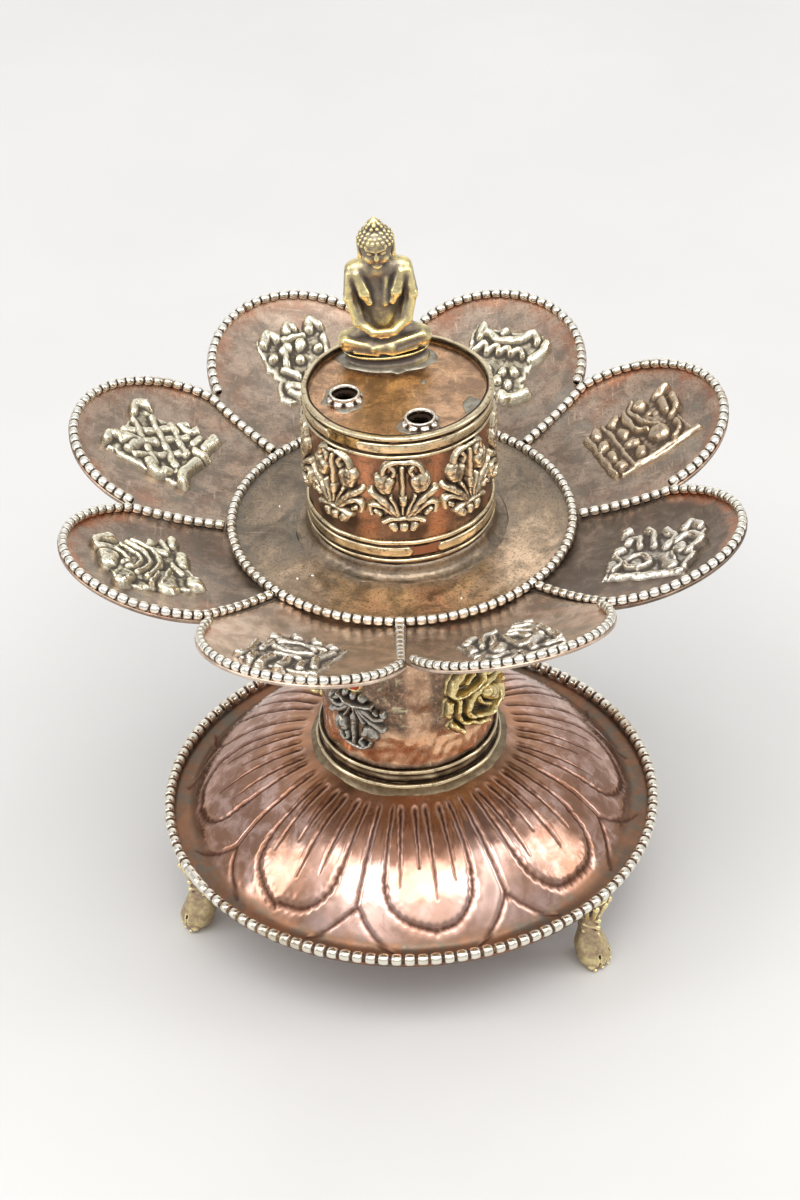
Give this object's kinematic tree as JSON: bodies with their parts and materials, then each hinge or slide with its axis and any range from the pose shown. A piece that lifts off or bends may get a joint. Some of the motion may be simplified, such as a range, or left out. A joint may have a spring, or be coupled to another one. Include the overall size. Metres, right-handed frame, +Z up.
{
  "type": "incense stick stand",
  "caption": "Lotus-shaped incense-stick stand: petalled copper tray on a column and footed dish, with a drum that carries stick cups and a small seated figure.",
  "frame": {"origin": "on the floor under the column's axis, at the bottom centre of the whole stand", "axes": "+Z up along the column, -Y to the front, which the seated figure faces, +X to the right seen from the front"},
  "size_m": [0.1692, 0.1692, 0.1991],
  "materials": {
    "bright_copper": "polished sheet copper, red-brown in the chased lines",
    "aged_copper": "brown patinated sheet copper",
    "brass_trim": "aged brass strip",
    "beaded_wire": "pale beaded wire with dark gaps",
    "white_brass_casting": "cast, polished on the high spots, dark in the hollows",
    "silvered_casting": "cast, dark silver",
    "yellow_brass_casting": "cast yellow brass, dark in the hollows",
    "stick_cup_metal": "bright crimped sheet",
    "coral": "polished red cabochon",
    "solder": "dull grey soft solder"
  },
  "bodies": {
    "root": {"base_bead_wire": "beaded_wire", "base_dome": "bright_copper", "column_foot_solder": "solder", "column_lower_band": "brass_trim", "column_scroll_left": "yellow_brass_casting", "column_scroll_right": "yellow_brass_casting", "column_spray_back": "silvered_casting", "column_spray_front": "silvered_casting", "column_top_solder": "solder", "column_tube": "aged_copper", "coral_back": "coral", "coral_bezel_back": "yellow_brass_casting", "coral_bezel_front": "yellow_brass_casting", "coral_front": "coral", "drum_foot_solder": "solder", "drum_lotus_ornaments": "white_brass_casting", "drum_lower_band": "brass_trim", "drum_top_plate": "aged_copper", "drum_tube": "aged_copper", "drum_upper_band": "brass_trim", "emblem_conch": "white_brass_casting", "emblem_endless_knot": "white_brass_casting", "emblem_lotus": "white_brass_casting", "emblem_parasol": "white_brass_casting", "emblem_treasure_vase": "white_brass_casting", "emblem_two_fish": "white_brass_casting", "emblem_victory_banner": "white_brass_casting", "emblem_wheel": "white_brass_casting", "figure": "yellow_brass_casting", "figure_solder": "solder", "foot_left": "yellow_brass_casting", "foot_rear": "yellow_brass_casting", "foot_right": "yellow_brass_casting", "petal_back_left": "aged_copper", "petal_back_right": "aged_copper", "petal_front_left": "aged_copper", "petal_front_right": "aged_copper", "petal_left_back": "aged_copper", "petal_left_front": "aged_copper", "petal_right_back": "aged_copper", "petal_right_front": "aged_copper", "petal_wire_back_left": "beaded_wire", "petal_wire_back_right": "beaded_wire", "petal_wire_front_left": "beaded_wire", "petal_wire_front_right": "beaded_wire", "petal_wire_left_back": "beaded_wire", "petal_wire_left_front": "beaded_wire", "petal_wire_right_back": "beaded_wire", "petal_wire_right_front": "beaded_wire", "plate_solder": "solder", "stick_cup_left": "stick_cup_metal", "stick_cup_right": "stick_cup_metal", "tray_bead_ring": "beaded_wire", "tray_disc": "aged_copper"}
  },
  "joints": []
}
